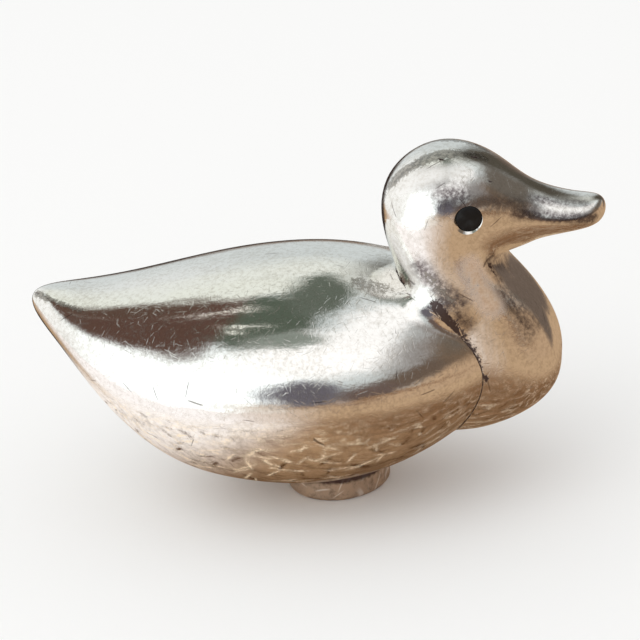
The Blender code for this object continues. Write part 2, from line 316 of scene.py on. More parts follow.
class DuckRoom(bpy.types.PropertyGroup):
    """Colours of the room and the table top that the metal mirrors."""
    wall: shade("Wall", "Colour of the room behind all else", (208, 215, 216))
    far_table: shade("Far table", "Colour of the table top far from the duck", (192, 162, 130))
    far_bright: shade("Far bright", "Colour of its bright oval", (268, 264, 264))
    far_grain: shade("Far grain", "Colour of its grain", (150, 118, 88))
    far_dark: shade("Far dark", "Colour of its dark oval", (58, 48, 44))
    table: shade("Table", "Colour of the table top round the duck", (184, 150, 116))
    # The bright side is a painted glare of light, and the dark side a painted shadow of the duck
    bright: shade("Bright", "Colour of its bright side towards the tail", (268, 261, 257))
    dark: shade("Dark", "Colour of its dark side towards the bill", (124, 88, 60))
    straw: shade("Straw", "Colour of the flecks that lie one way", (100, 70, 48))
    dark_fibre: shade("Dark fibre", "Colour of the dark fibres", (96, 66, 44))
    pale_fibre: shade("Pale fibre", "Colour of the pale fibres", (272, 252, 222))


class DuckStage(bpy.types.PropertyGroup):
    """Camera, floor and light."""
    azimuth: angle("Azimuth", "Turn of the camera round the duck", 8.94)
    elevation: angle("Elevation", "Height of the camera above the horizon", 24.91)
    roll: angle("Roll", "Tilt of the picture", 6.07)
    distance: length("Distance", "Distance of the camera from the duck", 0.330)
    lens: bpy.props.FloatProperty(name="Lens", description="Focal length in millimetres", default=132.9)
    aim_height: length("Aim height", "Height of the duck's middle", 0.022)
    rise: length("Rise", "How far the picture's middle lies above the duck's", 0.00258)
    drift: bpy.props.FloatProperty(name="Drift", description="How far the middle lies to the right",
                                   default=-0.00018, unit="LENGTH")
    floor: shade("Floor", "Colour of the floor", (250, 250, 249))
    floor_half: length("Floor size", "Half width of the floor", 2.0)
    floor_drop: length("Floor drop", "How far the floor lies below the foot", 0.00005)
    around: tint("Light around", "Colour of the even light from all sides", (0.95, 0.95, 0.95))
    backdrop: tint("Backdrop", "Colour that the camera sees past the floor", (1.0, 1.0, 1.0))
    lamp: bpy.props.FloatProperty(name="Lamp", description="Strength of the soft lamp", default=0.35)
    lamp_size: length("Lamp size", "Width of the soft lamp", 0.5)
    lamp_place: bpy.props.FloatVectorProperty(name="Lamp place", description="Where the soft lamp hangs",
                                              default=(-0.25, -0.25, 0.45), subtype="TRANSLATION")


def smooth_curve(knots, values):
    """Return the natural cubic curve that runs through the values at the knots."""
    gaps = np.diff(knots)
    slopes = np.diff(values) / gaps
    count = len(knots)
    system = np.eye(count)
    target = np.zeros(count)
    for i in range(1, count - 1):
        system[i, i - 1:i + 2] = (gaps[i - 1], 2 * (gaps[i - 1] + gaps[i]), gaps[i])
        target[i] = 6 * (slopes[i] - slopes[i - 1])
    bends = np.linalg.solve(system, target)

    def values_at(places):
        """Read the curve at an array of places."""
        i = np.clip(np.searchsorted(knots, places) - 1, 0, count - 2)
        before = (knots[i + 1] - places) / gaps[i]
        after = (places - knots[i]) / gaps[i]
        line = before * values[i] + after * values[i + 1]
        bow = (before ** 3 - before) * bends[i] + (after ** 3 - after) * bends[i + 1]
        return line + bow * gaps[i] ** 2 / 6

    return values_at


def columns_of(rows):
    """Return a table's columns as arrays."""
    return [np.array(column, float) for column in zip(*rows)]


def end_share(reach, start_power, end_power):
    """Return how much of each section is left between two rounded ends."""
    power = np.where(reach < 0, start_power, end_power)
    return np.sqrt(np.clip(1.0 - np.abs(reach) ** power, 0.0, 1.0))


def sweep(rows):
    """Return reaches from -1 to 1 that crowd towards both ends, the ends left out."""
    return np.sin(np.pi * (np.arange(1, rows) / rows - 0.5))


def body_grid(reach, turns):
    """Return the body's skin as a grid of points."""
    knots, *columns = columns_of(BODY_SECTIONS)
    place = (knots[0] + knots[-1]) / 2 + (knots[-1] - knots[0]) / 2 * reach
    top, underside, half_width = (smooth_curve(knots, column)(place) for column in columns)
    left = end_share(reach, TAIL_POWER, NOSE_POWER)
    grid = np.zeros((len(reach), len(turns), 3))
    grid[:, :, 0] = place[:, None]
    grid[:, :, 1] = (half_width * left)[:, None] * np.cos(turns)
    middle = (top + underside) / 2
    rise = (top - underside) / 2 * left
    grid[:, :, 2] = middle[:, None] + rise[:, None] * np.sin(turns)
    return grid * MM


def neck_grid(reach, turns):
    """Return the skin of the breast, neck, head and bill as a grid of points."""
    knots = np.arange(len(NECK_SECTIONS), dtype=float)
    place = knots[-1] * (1 + reach) / 2
    columns = (smooth_curve(knots, column)(place)[:, None] for column in columns_of(NECK_SECTIONS))
    rear_x, rear_z, front_x, front_z, half_width, power, lean = columns
    left = end_share(reach, BREAST_POWER, BILL_POWER)[:, None]
    along, across = squared(turns, power)
    along = along + lean * across ** 2
    grid = np.zeros((len(reach), len(turns), 3))
    grid[:, :, 0] = (rear_x + front_x) / 2 + (front_x - rear_x) / 2 * left * along
    grid[:, :, 1] = half_width * left * across
    grid[:, :, 2] = (rear_z + front_z) / 2 + (front_z - rear_z) / 2 * left * along
    return grid * MM


def squared(turns, power):
    """Return points round outlines of half size 1: power 2 is round, more is squarer."""
    along, across = np.cos(turns), np.sin(turns)
    reach = (np.abs(along) ** power + np.abs(across) ** power) ** (-1 / power)
    return along * reach, across * reach


def skin_faces(rows, sides):
    """Return the faces of a grid of rings that a point closes at each end."""
    faces = []
    for row in range(rows - 1):
        for side in range(sides):
            other = (side + 1) % sides
            start, after = row * sides, (row + 1) * sides
            faces.append((start + side, start + other, after + other, after + side))
    first_tip, last_tip = rows * sides, rows * sides + 1
    last = (rows - 1) * sides
    for side in range(sides):
        other = (side + 1) % sides
        faces.append((other, side, first_tip))
        faces.append((last + side, last + other, last_tip))
    return faces


def outward(points, faces):
    """Turn the faces round if they point inwards."""
    corners = points[np.array([face[:3] for face in faces])]
    volume = np.einsum("ij,ij->i", corners[:, 0], np.cross(corners[:, 1], corners[:, 2])).sum()
    return faces if volume > 0 else [face[::-1] for face in faces]


def skin(grid_at, rows, sides):
    """Return a closed skin's points and its faces, turned outwards."""
    turns = 2 * np.pi * np.arange(sides) / sides
    grid = grid_at(sweep(rows), turns)
    tips = grid_at(np.array([-1.0, 1.0]), turns[:1])[:, 0]
    points = np.vstack([grid.reshape(-1, 3), tips])
    return points, outward(points, skin_faces(*grid.shape[:2]))


def gap_to(tree, points):
    """Return each point's distance outside a closed skin, negative inside, and the way out."""
    gaps = np.zeros(len(points))
    ways = np.zeros((len(points), 3))
    for i, point in enumerate(points):
        near, normal, _, distance = tree.find_nearest(Vector(point))
        side = 1.0 if (Vector(point) - near).dot(normal) >= 0 else -1.0
        gaps[i] = side * distance
        ways[i] = normal
    return gaps, ways


def smooth_step(low, high, values):
    """Return a soft step from 0 to 1 between two values."""
    part = np.clip((values - low) / (high - low), 0.0, 1.0)
    return part * part * (3 - 2 * part)


def blended(points, own, other, width_at):
    """Move a skin's points near the other skin onto the soft union of both.

    Past the seam they go back to where they were, inside the other skin. The distance of each point
    from the other skin is returned too.
    """
    result = points.copy()
    away, _ = gap_to(other, points)
    near = np.where(np.abs(away) < width_at(points))[0]
    for _ in range(BLEND_ROUNDS):
        spots = result[near]
        width = width_at(spots)
        own_gap, own_way = gap_to(own, spots)
        other_gap, other_way = gap_to(other, spots)
        overlap = np.clip(width - np.abs(own_gap - other_gap), 0.0, None) / width
        level = np.minimum(own_gap, other_gap) - overlap ** 2 * width / 4
        lean = np.where(own_gap <= other_gap, overlap / 2, 1 - overlap / 2)[:, None]
        slope = own_way * (1 - lean) + other_way * lean
        slope /= np.maximum((slope ** 2).sum(axis=1, keepdims=True), LEAST_SLOPE)
        result[near] = spots - slope * level[:, None]
    beyond = gap_to(own, result[near])[0] - gap_to(other, result[near])[0]
    width = width_at(result[near])
    keep = 1 - smooth_step(0.0, BLEND_REACH, beyond / width)
    result[near] = points[near] + (result[near] - points[near]) * keep[:, None]
    return result, away


def new_piece(name, points, faces, marks=None):
    """Make a smooth mesh object with named values on its points."""
    mesh = bpy.data.meshes.new(name)
    mesh.from_pydata([tuple(point) for point in points], [], faces)
    mesh.validate()
    mesh.shade_smooth()
    for mark, values in (marks or {}).items():
        layer = mesh.attributes.new(mark, "FLOAT", "POINT")
        layer.data.foreach_set("value", np.asarray(values, np.float32))
    piece = bpy.data.objects.new(name, mesh)
    bpy.context.scene.collection.objects.link(piece)
    return piece


def settle(piece, material, slot, *nodes):
    """Give a piece its material, and let it stand for its solids on the root body. The slot is not used."""
    piece.data.materials.clear()
    piece.data.materials.append(material)
    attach(piece, "root")
    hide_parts(*nodes)


def operator_pair(operation):
    """Return a Python operator that adds a Math node, and its reflected form."""

    def straight(self, other):
        """Join a wire with a value to its right."""
        return self.sheet.maths(operation, self, other)

    def reflected(self, other):
        """Join a wire with a value to its left."""
        return self.sheet.maths(operation, other, self)

    return straight, reflected


class Wire:
    """A node socket that takes part in sums."""

    def __init__(self, sheet, socket):
        self.sheet = sheet
        self.socket = socket

    __add__, __radd__ = operator_pair("ADD")
    __sub__, __rsub__ = operator_pair("SUBTRACT")
    __mul__, __rmul__ = operator_pair("MULTIPLY")
    __truediv__, __rtruediv__ = operator_pair("DIVIDE")
    __pow__, __rpow__ = operator_pair("POWER")

    def clamped(self):
        """Hold the value between 0 and 1."""
        return self.sheet.node("ShaderNodeClamp", {}, self)

    def high(self, other):
        """Return the higher of two values."""
        return self.sheet.maths("MAXIMUM", self, other)

    def size(self):
        """Return the value without its sign."""
        return self.sheet.maths("ABSOLUTE", self)

    def step(self, low, high):
        """Return a soft step from 0 at low to 1 at high."""
        settings = {"interpolation_type": "SMOOTHSTEP"}
        return self.sheet.node("ShaderNodeMapRange", settings, self, low, high, 0.0, 1.0)


class Sheet:
    """The node tree of one material or world."""

    def __init__(self, tree):
        self.tree = tree

    def node(self, kind, settings, *values, output=0, **named):
        """Add a node, set it up, feed its sockets and return one output as a wire."""
        node = self.tree.nodes.new(kind)
        for name, value in settings.items():
            setattr(node, name, value)
        for key, value in enumerate(values):
            self.plug(node, key, value)
        for key, value in named.items():
            self.plug(node, key, value)
        return Wire(self, node.outputs[output])

    def plug(self, node, key, value):
        """Link a wire to a node's socket, or set the socket's value."""
        if isinstance(value, Wire):
            self.tree.links.new(value.socket, node.inputs[key])
        else:
            node.inputs[key].default_value = value

    def maths(self, operation, *values):
        """Join values in a Math node."""
        return self.node("ShaderNodeMath", {"operation": operation}, *values)

    def split(self, vector):
        """Return the three parts of a vector."""
        part = self.node("ShaderNodeSeparateXYZ", {}, vector)
        return [Wire(self, socket) for socket in part.socket.node.outputs]

    def point(self):
        """Return the place on the piece."""
        return self.node("ShaderNodeTexCoord", {}, output="Object")

    def vector(self, operation, *vectors, output="Vector"):
        """Join vectors in a Vector Math node."""
        return self.node("ShaderNodeVectorMath", {"operation": operation}, *vectors, output=output)

    def scaled(self, vector, *scale):
        """Multiply a vector by one number, or part by part."""
        factor = scale * 3 if len(scale) == 1 else scale
        return self.vector("MULTIPLY", vector, factor)

    def moved(self, vector, step):
        """Add one number to each part of a vector."""
        return self.vector("ADD", vector, (step, step, step))

    def dot(self, one, two):
        """Return the product of two vectors' matching parts, added up."""
        return self.vector("DOT_PRODUCT", one, two, output="Value")

    def noise(self, vector, scale, detail=2.0, rough=0.5):
        """Return a noise value from 0 to 1."""
        return self.node("ShaderNodeTexNoise", {}, Vector=vector, Scale=scale, Detail=detail,
                         Roughness=rough)

    def mix(self, factor, one, two):
        """Blend two colours."""
        mixed = self.node("ShaderNodeMix", {"data_type": "RGBA"}, factor, output=MIX_RESULT)
        for key, value in ((MIX_ONE, one), (MIX_TWO, two)):
            colour = value if isinstance(value, Wire) else (*value, 1.0)
            self.plug(mixed.socket.node, key, colour)
        return mixed

    def mark(self, name):
        """Return a value stored on the points."""
        return self.node("ShaderNodeAttribute", {"attribute_name": name}, output="Fac")

    def bump(self, height, distance):
        """Return a normal bent by a height."""
        return self.node("ShaderNodeBump", {}, Height=height, Distance=distance)

    def ray(self, kind):
        """Return 1 for one kind of ray, such as Is Camera Ray."""
        return self.node("ShaderNodeLightPath", {}, output=kind)


def new_material(name):
    """Return an empty material, its sheet and its Principled shader."""
    material = bpy.data.materials.new(name)
    material.use_nodes = True
    sheet = Sheet(material.node_tree)
    return material, sheet, material.node_tree.nodes["Principled BSDF"]


def feed(sheet, shader, **inputs):
    """Link or set a shader's inputs, named with _ for each space."""
    for name, value in inputs.items():
        sheet.plug(shader, name.replace("_", " "), value)


def strokes(sheet, point, cell, width, kept, seed):
    """Return straight strokes at random turns, 1 along each middle.

    A cell of space holds one at most, and kept is the share of cells that have one.
    """
    shifted = sheet.moved(point, seed)
    away = sheet.node("ShaderNodeTexVoronoi", {"feature": "F1"}, output="Distance", Vector=shifted,
                      Scale=1 / cell)
    cells = away.socket.node
    heart = Wire(sheet, cells.outputs["Position"])
    lot = Wire(sheet, cells.outputs["Color"])
    way = sheet.vector("NORMALIZE", sheet.moved(lot, -0.5))
    beside = sheet.dot(sheet.vector("SUBTRACT", shifted, heart), way).size()
    line = 1 - beside.step(width * 0.3, width)
    chance = sheet.node("ShaderNodeTexWhiteNoise", {"noise_dimensions": "3D"}, heart, output="Value")
    return line * (1 - away.step(0.3, 0.65)) * (1 - chance.step(kept, kept + 0.001))


def polished_silver(name, stretch):
    """Return mirror polished silver with wear: scratches, nicks, haze, tarnish and dirt, and with painted
    reflections and highlights.

    Marks on the points say where it is stained and painted with dark reflections, where a grey film
    paints a dark reflection, where it is rubbed matt into a painted highlight, where a matt yellowish
    tone paints a warm reflection, and where it is dirty.
    """
    look = bpy.context.scene.duck_finish
    material, sheet, shader = new_material(name)
    point = sheet.point()
    thin = look.scratch_width
    short = strokes(sheet, point, cell=0.0010, width=thin, kept=0.8, seed=0.31)
    middling = strokes(sheet, point, cell=0.0020, width=thin, kept=0.5, seed=0.17)
    nicks = strokes(sheet, point, cell=0.0024, width=thin * 1.4, kept=0.12, seed=0.53)
    scratches = short.high(middling)
    haze = sheet.noise(point, scale=130.0, detail=3.0, rough=0.6)
    fine = sheet.noise(point, scale=1700.0, detail=3.0, rough=0.7)
    grain = fine.step(0.38, 0.64)
    worn = (haze * 0.6 + fine * 0.8).step(0.6, 0.9)
    ragged = (haze - 0.5) * 0.7 + (fine - 0.5) * 2.2
    # The stain mark holds tarnish and painted dark reflections
    tarnish_and_painted_reflection = (sheet.mark("stain_and_painted_reflection") + ragged * 0.8).step(0.35, 0.75)
    narrow = sheet.mark("gap").size() + (haze - 0.5) * 0.4 + (fine - 0.5) * 0.45
    seam = (1 - narrow.step(0.04, 0.2)) * sheet.mark("crease")
    dirt = (sheet.mark("grime").high(seam) + ragged * 0.6 - scratches * 0.3).step(0.4, 0.65)
    # Painted dark reflection: a soft grey film darkens the silver
    painted_dark_reflection = (sheet.mark("painted_dark_reflection") * (0.75 + ragged)).clamped()
    tone = sheet.mix(worn * 0.35 + grain * 0.16 + scratches * 0.2, look.silver, look.dull)
    tone = sheet.mix(painted_dark_reflection, tone, look.painted_dark_reflection)
    # Painted warm reflection: a yellowish tone that stands for the mirrored warm table top
    painted_warm_reflection = (sheet.mark("painted_warm_reflection") * (0.8 + ragged * 0.7)).clamped()
    tone = sheet.mix(painted_warm_reflection, tone, sheet.mix(worn * 0.2 + grain * 0.15, look.painted_warm_reflection, look.painted_dark_reflection))
    stain_and_reflection_tone = sheet.mix(grain * 0.6, look.tarnish_and_painted_reflection, look.dull)
    tone = sheet.mix(tarnish_and_painted_reflection * 0.85, tone, stain_and_reflection_tone)
    color = sheet.mix((dirt * 0.92).high(nicks * 0.7), tone, look.dirt)
    rough = look.polish + worn * 0.06 + (fine - 0.5).clamped() * 0.35 + scratches * 0.08
    # Rubbed places and the painted warm reflection turn matt; the rubbed ones paint a whitish highlight
    matt_painted_light = (sheet.mark("rubbed_and_painted_highlight") * 0.6).high(painted_warm_reflection * 0.68)
    rough = rough + tarnish_and_painted_reflection * 0.14 + painted_dark_reflection * 0.12 + matt_painted_light * 0.6 + dirt * 0.35
    swell = sheet.noise(point, scale=70.0)
    ripple = sheet.noise(sheet.scaled(point, *stretch), scale=420.0, detail=3.0)
    height = swell * 0.22 + ripple * 0.045 + fine * 0.011 - scratches * 0.004
    feed(sheet, shader, Base_Color=color, Metallic=1 - matt_painted_light,
         Roughness=rough.clamped(), Normal=sheet.bump(height, MM))
    return material


def worn_silver(name):
    """Return rubbed silver for the foot, with grime, and with a painted shadow that darkens its top under
    the belly.
    """
    look = bpy.context.scene.duck_finish
    material, sheet, shader = new_material(name)
    point = sheet.point()
    grime = sheet.noise(point, scale=900.0, detail=5.0, rough=0.7)
    rub = strokes(sheet, point, cell=0.0024, width=0.00012, kept=0.8, seed=0.37)
    rub = rub.high(strokes(sheet, point, cell=0.004, width=0.00014, kept=0.8, seed=0.11))
    color = sheet.mix(grime.step(0.45, 0.72) * 0.5, look.worn, look.dirt)
    color = sheet.mix(rub * 0.75, color, look.rub)
    _, _, height = sheet.split(point)
    # Painted shadow: the top of the foot under the belly is darkened with the dirt colour
    painted_belly_shadow = (height + grime * MM).step(3.0 * MM, 3.6 * MM)
    color = sheet.mix(painted_belly_shadow * 0.9, color, look.dirt)
    relief = grime * 0.05 + rub * 0.02
    feed(sheet, shader, Base_Color=color, Metallic=0.7, Roughness=0.4 + grime * 0.25,
         Normal=sheet.bump(relief, MM))
    return material


def turned_steel(name):
    """Return steel with turning marks for the pins and the screw."""
    look = bpy.context.scene.duck_finish
    material, sheet, shader = new_material(name)
    marks = sheet.noise(sheet.scaled(sheet.point(), 1.0, 1.0, 12.0), scale=300.0, detail=3.0)
    color = sheet.mix(marks * 0.4, look.steel, look.groove)
    feed(sheet, shader, Base_Color=color, Metallic=1.0, Roughness=0.25 + marks * 0.25)
    return material


def black_bead(name):
    """Return dull black glass with a faint bloom."""
    look = bpy.context.scene.duck_finish
    material, sheet, shader = new_material(name)
    bloom = sheet.noise(sheet.point(), scale=700.0, detail=3.0)
    color = sheet.mix(bloom.step(0.45, 0.8) * 0.5, look.bead, look.bloom)
    feed(sheet, shader, Base_Color=color, Roughness=0.4 + bloom * 0.25, Specular_IOR_Level=0.35)
    return material


def cornered(points):
    """Return 1 at the shoulder's corner, and 0 below it and in the crease behind the neck."""
    sizes = bpy.context.scene.duck_castings
    raised = smooth_step(sizes.blend_low, sizes.blend_high, points[:, 2])
    return raised * smooth_step(sizes.crease_half, sizes.crease_end, np.abs(points[:, 1]))


def blend_width(points):
    """Return how wide the castings blend at each point: widely at the corner, hardly at the seam."""
    sizes = bpy.context.scene.duck_castings
    return sizes.seam_blend + (sizes.shoulder_blend - sizes.seam_blend) * cornered(points)


def castings():
    """Return both castings' skins: points, faces and how far each point is from the other."""
    sizes = bpy.context.scene.duck_castings
    skins = []
    for grid_at, rows, sides in ((body_grid, sizes.body_rows, sizes.body_sides),
                                 (neck_grid, sizes.neck_rows, sizes.neck_sides)):
        points, faces = skin(grid_at, rows, sides)
        tree = BVHTree.FromPolygons([tuple(point) for point in points], faces)
        skins.append((points, faces, tree))
    (body, body_faces, body_tree), (neck, neck_faces, neck_tree) = skins
    body_new, body_gap = blended(body, body_tree, neck_tree, blend_width)
    neck_new, neck_gap = blended(neck, neck_tree, body_tree, blend_width)
    return (body_new, body_faces, body_gap), (neck_new, neck_faces, neck_gap)


def spread(points, table):
    """Return how strongly a table's marks reach each point, the same on both sides."""
    places = points / MM
    places[:, 1] = np.abs(places[:, 1])
    reached = np.zeros(len(points))
    for start, end, radius, strength in table:
        start, along = np.array(start), np.array(end) - start
        part = np.clip((places - start) @ along / (along @ along), 0, 1)
        away = np.linalg.norm(places - start - part[:, None] * along, axis=1)
        left = 1 - smooth_step(MARK_CORE * radius, MARK_RIM * radius, away)
        reached = np.maximum(reached, strength * left)
    return reached


def marked_piece(name, casting, dirt):
    """Make a casting's piece with the marks of its wear and of its painted reflections and highlights on
    the points.
    """
    points, faces, gap = casting
    tables = {"stain_and_painted_reflection": STAINS_AND_PAINTED_REFLECTIONS, "painted_dark_reflection": PAINTED_DARK_REFLECTIONS, "rubbed_and_painted_highlight": RUBBED_AND_PAINTED_HIGHLIGHTS, "painted_warm_reflection": PAINTED_WARM_REFLECTIONS, "grime": dirt}
    marks = {mark: spread(points, table) for mark, table in tables.items()}
    marks["gap"] = np.clip(gap / MM, -WIDEST_GAP, WIDEST_GAP)
    marks["crease"] = SEAM_DIRT * (1 - cornered(points))
    return new_piece(name, points, faces, marks)


def eye_turn(side):
    """Return the turn that points a part made upright out of one side's eye."""
    towards_bill = Matrix.Rotation(-side * bpy.context.scene.duck_eyes.turn, 4, "Z")
    return towards_bill @ Matrix.Rotation(-side * math.pi / 2, 4, "X")


def drill(piece, side):
    """Drill one eye socket straight in from a side and break its edge."""
    sizes = bpy.context.scene.duck_eyes
    middle = (EYE_LOW + EYE_HIGH) / 2
    tree = BVHTree.FromObject(piece, bpy.context.evaluated_depsgraph_get())
    start = Vector((middle.x, side * DRILL_START, middle.z))
    mouth, _, _, _ = tree.ray_cast(start, Vector((0, -side, 0)))
    radius = sizes.bore / 2
    profile = [(0.0, -sizes.depth), (radius, -sizes.depth), (radius, -sizes.rim),
               (radius + sizes.rim + DRILL_RISE, DRILL_RISE), (0.0, DRILL_RISE)]
    cutter = turned_mesh("eye_drill", profile, sides=64)
    cutter.matrix_world = Matrix.Translation(mouth) @ eye_turn(side)
    cut = piece.modifiers.new("socket", "BOOLEAN")
    cut.operation = "DIFFERENCE"
    cut.solver = "EXACT"
    cut.object = cutter
    bpy.context.view_layer.update()
    carved = bpy.data.meshes.new_from_object(piece.evaluated_get(bpy.context.evaluated_depsgraph_get()))
    piece.modifiers.clear()
    piece.data = carved
    bpy.data.objects.remove(cutter)


def turned_mesh(name, profile, sides):
    """Turn a profile of radius and height, bottom to top, about the vertical axis."""
    points, faces, rings = [], [], []
    turns = [2 * math.pi * i / sides for i in range(sides)]
    for radius, height in profile:
        if radius == 0.0:
            rings.append([len(points)])
            points.append((0.0, 0.0, height))
        else:
            rings.append(list(range(len(points), len(points) + sides)))
            points += [(radius * math.cos(turn), radius * math.sin(turn), height) for turn in turns]
    for low, high in zip(rings, rings[1:]):
        for i in range(sides):
            j = (i + 1) % sides
            if len(low) == 1:
                faces.append((low[0], high[j], high[i]))
            elif len(high) == 1:
                faces.append((low[i], low[j], high[0]))
            else:
                faces.append((low[i], low[j], high[j], high[i]))
    return new_piece(name, points, faces)


class DUCK_OT_castings(bpy.types.Operator):
    """Skin the body and the head and breast, and drill the eye sockets."""
    bl_idname = "duck.castings"
    bl_label = "Castings"

    def execute(self, context):
        """Build both castings."""
        body_skin, neck_skin = castings()
        body = marked_piece("body_silver", body_skin, BODY_DIRT)
        head = marked_piece("head_and_breast_silver", neck_skin, NECK_DIRT)
        for side in (1.0, -1.0):
            drill(head, side)
        head.data.set_sharp_from_angle(angle=math.radians(35))
        body_look = polished_silver("body_silver", stretch=(0.2, 1.0, 1.0))
        head_look = polished_silver("head_silver", stretch=(1.0, 1.0, 0.5))
        settle(body, body_look, "silver", "body_casting")
        settle(head, head_look, "silver", "head_and_breast_casting")
        return {"FINISHED"}


class DUCK_OT_eyes(bpy.types.Operator):
    """Set a domed black bead in each eye socket."""
    bl_idname = "duck.eyes"
    bl_label = "Eyes"

    def execute(self, context):
        """Build both beads."""
        sizes = context.scene.duck_eyes
        material = black_bead("eye_black")
        radius, crown = sizes.bead / 2, sizes.crown
        turns = np.linspace(math.pi / 2, 0.15, 10)
        dome = [(radius * math.sin(turn), crown * (math.cos(turn) - 1)) for turn in turns]
        profile = [(0.0, -sizes.shank), (radius, -sizes.shank), *dome, (0.0, 0.0)]
        for name, side in (("left", 1.0), ("right", -1.0)):
            low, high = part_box("eye_" + name)
            face = (high.y if side > 0 else low.y) + side * sizes.lift
            bead = turned_mesh("eye_bead_" + name, profile, sides=48)
            place = Vector(((low.x + high.x) / 2, face, (low.z + high.z) / 2))
            bead.matrix_world = Matrix.Translation(place) @ eye_turn(side)
            bead.data.set_sharp_from_angle(angle=math.radians(50))
            settle(bead, material, "eye_black", "eye_" + name)
        return {"FINISHED"}


class DUCK_OT_foot(bpy.types.Operator):
    """Turn the round plug foot."""
    bl_idname = "duck.foot"
    bl_label = "Foot"

    def execute(self, context):
        """Build the foot."""
        sizes = context.scene.duck_foot
        top, radius = FOOT_HIGH.z, (FOOT_HIGH.x - FOOT_LOW.x) / 2
        edge, land, bore, sink = sizes.edge, sizes.land, sizes.bore / 2, sizes.sink / 2
        cone_top = (bore, land + sink - bore)
        turns = np.linspace(0.0, math.pi / 2, 8)
        profile = [cone_top, (sink, land), (sink, 0.0)]
        profile += [(radius - edge + edge * math.sin(turn), edge - edge * math.cos(turn)) for turn in turns]
        profile += [(radius, top / 2), (radius, top), (bore, top), cone_top]
        foot = turned_mesh("foot_turned", profile, sides=128)
        foot.location = ((FOOT_LOW.x + FOOT_HIGH.x) / 2, 0.0, 0.0)
        foot.data.set_sharp_from_angle(angle=math.radians(40))
        settle(foot, worn_silver("worn_silver"), "worn_silver", "foot")
        return {"FINISHED"}


class DUCK_OT_fasteners(bpy.types.Operator):
    """Finish the foot screw and the joint pins."""
    bl_idname = "duck.fasteners"
    bl_label = "Screw and pins"

    def execute(self, context):
        """Give the solids their steel."""
        material = turned_steel("turned_steel")
        for name in ("foot_screw", "lower_joint_pin", "upper_joint_pin"):
            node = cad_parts[name]
            node.data.materials.clear()
            node.data.materials.append(material)
        return {"FINISHED"}


def bearing(a, e):
    """Return the way out at an azimuth and elevation, and the level way to its side."""
    ahead = Vector((math.sin(a) * math.cos(e), -math.cos(a) * math.cos(e), math.sin(e)))
    return ahead, Vector((math.cos(a), math.sin(a), 0.0))


def patch(sheet, way, azimuth, elevation, width, height, soft, tilt):
    """Return a soft oval on the sky round a direction, 1 inside; sizes are half angles in degrees."""
    t = math.radians(tilt)
    ahead, aside = bearing(math.radians(azimuth), math.radians(elevation))
    above = ahead.cross(aside)
    long = (aside * math.cos(t) + above * math.sin(t)) / math.sin(math.radians(width))
    tall = (above * math.cos(t) - aside * math.sin(t)) / math.sin(math.radians(height))
    across, up = sheet.dot(way, tuple(long)), sheet.dot(way, tuple(tall))
    reach = (across * across + up * up) ** 0.5
    return (1 - reach.step(1 - soft, 1 + soft)) * sheet.dot(way, tuple(ahead)).step(-0.02, 0.02)


class DUCK_OT_stage(bpy.types.Operator):
    """Make the floor, the light and the camera."""
    bl_idname = "duck.stage"
    bl_label = "Stage"

    def execute(self, context):
        """Build the stage."""
        make_floor()
        make_world()
        make_lamp()
        make_camera()
        context.scene.view_settings.view_transform = "Standard"
        return {"FINISHED"}


def straw(sheet, x, y, turn, long, wide, seed):
    """Return long thin flecks on the floor that lie one way, 1 inside."""
    a = math.radians(turn)
    along = (x * math.cos(a) + y * math.sin(a)) / long
    across = (y * math.cos(a) - x * math.sin(a)) / wide
    place = sheet.node("ShaderNodeCombineXYZ", {}, along, across, seed)
    return sheet.noise(place, scale=1.0, detail=1.0).step(0.5, 0.64)


def table_top(sheet, point):
    """Return the colour of the warm, fibrous table top that the metal mirrors in the floor, with a painted
    glare towards the tail and a painted shadow towards the bill.
    """
    tones = bpy.context.scene.duck_room
    x, y, _ = sheet.split(point)
    # Painted light and shade: a glare of window light towards the tail, and the duck's shadow towards the
    # bill
    left = (x * -0.94 - y * 0.34 - 0.015).step(-0.004, 0.022)
    right = (x - y * 0.5 - 0.012).step(0.0, 0.03)
    board = sheet.mix(left, tones.table, tones.bright)
    board = sheet.mix(right * 0.75, board, tones.dark)
    flecks = straw(sheet, x, y, turn=35, long=0.005, wide=0.0006, seed=0.3)
    board = sheet.mix(flecks * (0.6 - left * 0.3), board, tones.straw)
    dark = strokes(sheet, point, cell=0.005, width=0.0004, kept=0.9, seed=0.61)
    board = sheet.mix(dark, board, tones.dark_fibre)
    pale = strokes(sheet, point, cell=0.0045, width=0.00026, kept=0.95, seed=0.21)
    pale = pale.high(strokes(sheet, point, cell=0.0075, width=0.0003, kept=0.95, seed=0.47))
    pale = pale.high(strokes(sheet, point, cell=0.006, width=0.00028, kept=0.95, seed=0.83))
    return sheet.mix(pale * (1 - right * 0.5), board, tones.pale_fibre)


def mirrored_floor(sheet, point):
    """Return where the metal mirrors the floor itself, round the duck and in a far patch, 1 inside.

    Elsewhere it looks through the floor to the table top that the world shows.
    """
    x, y, _ = sheet.split(point)
    near = 1 - ((x * x + y * y) ** 0.5).step(0.045, 0.075)
    beside = x.step(0.032, 0.044) * (x - y * 0.5 - 0.0955).step(0.025, 0.04)
    far = beside * (1 - y.step(-0.19, -0.17)) * y.step(-0.36, -0.33)
    return near.high(far)


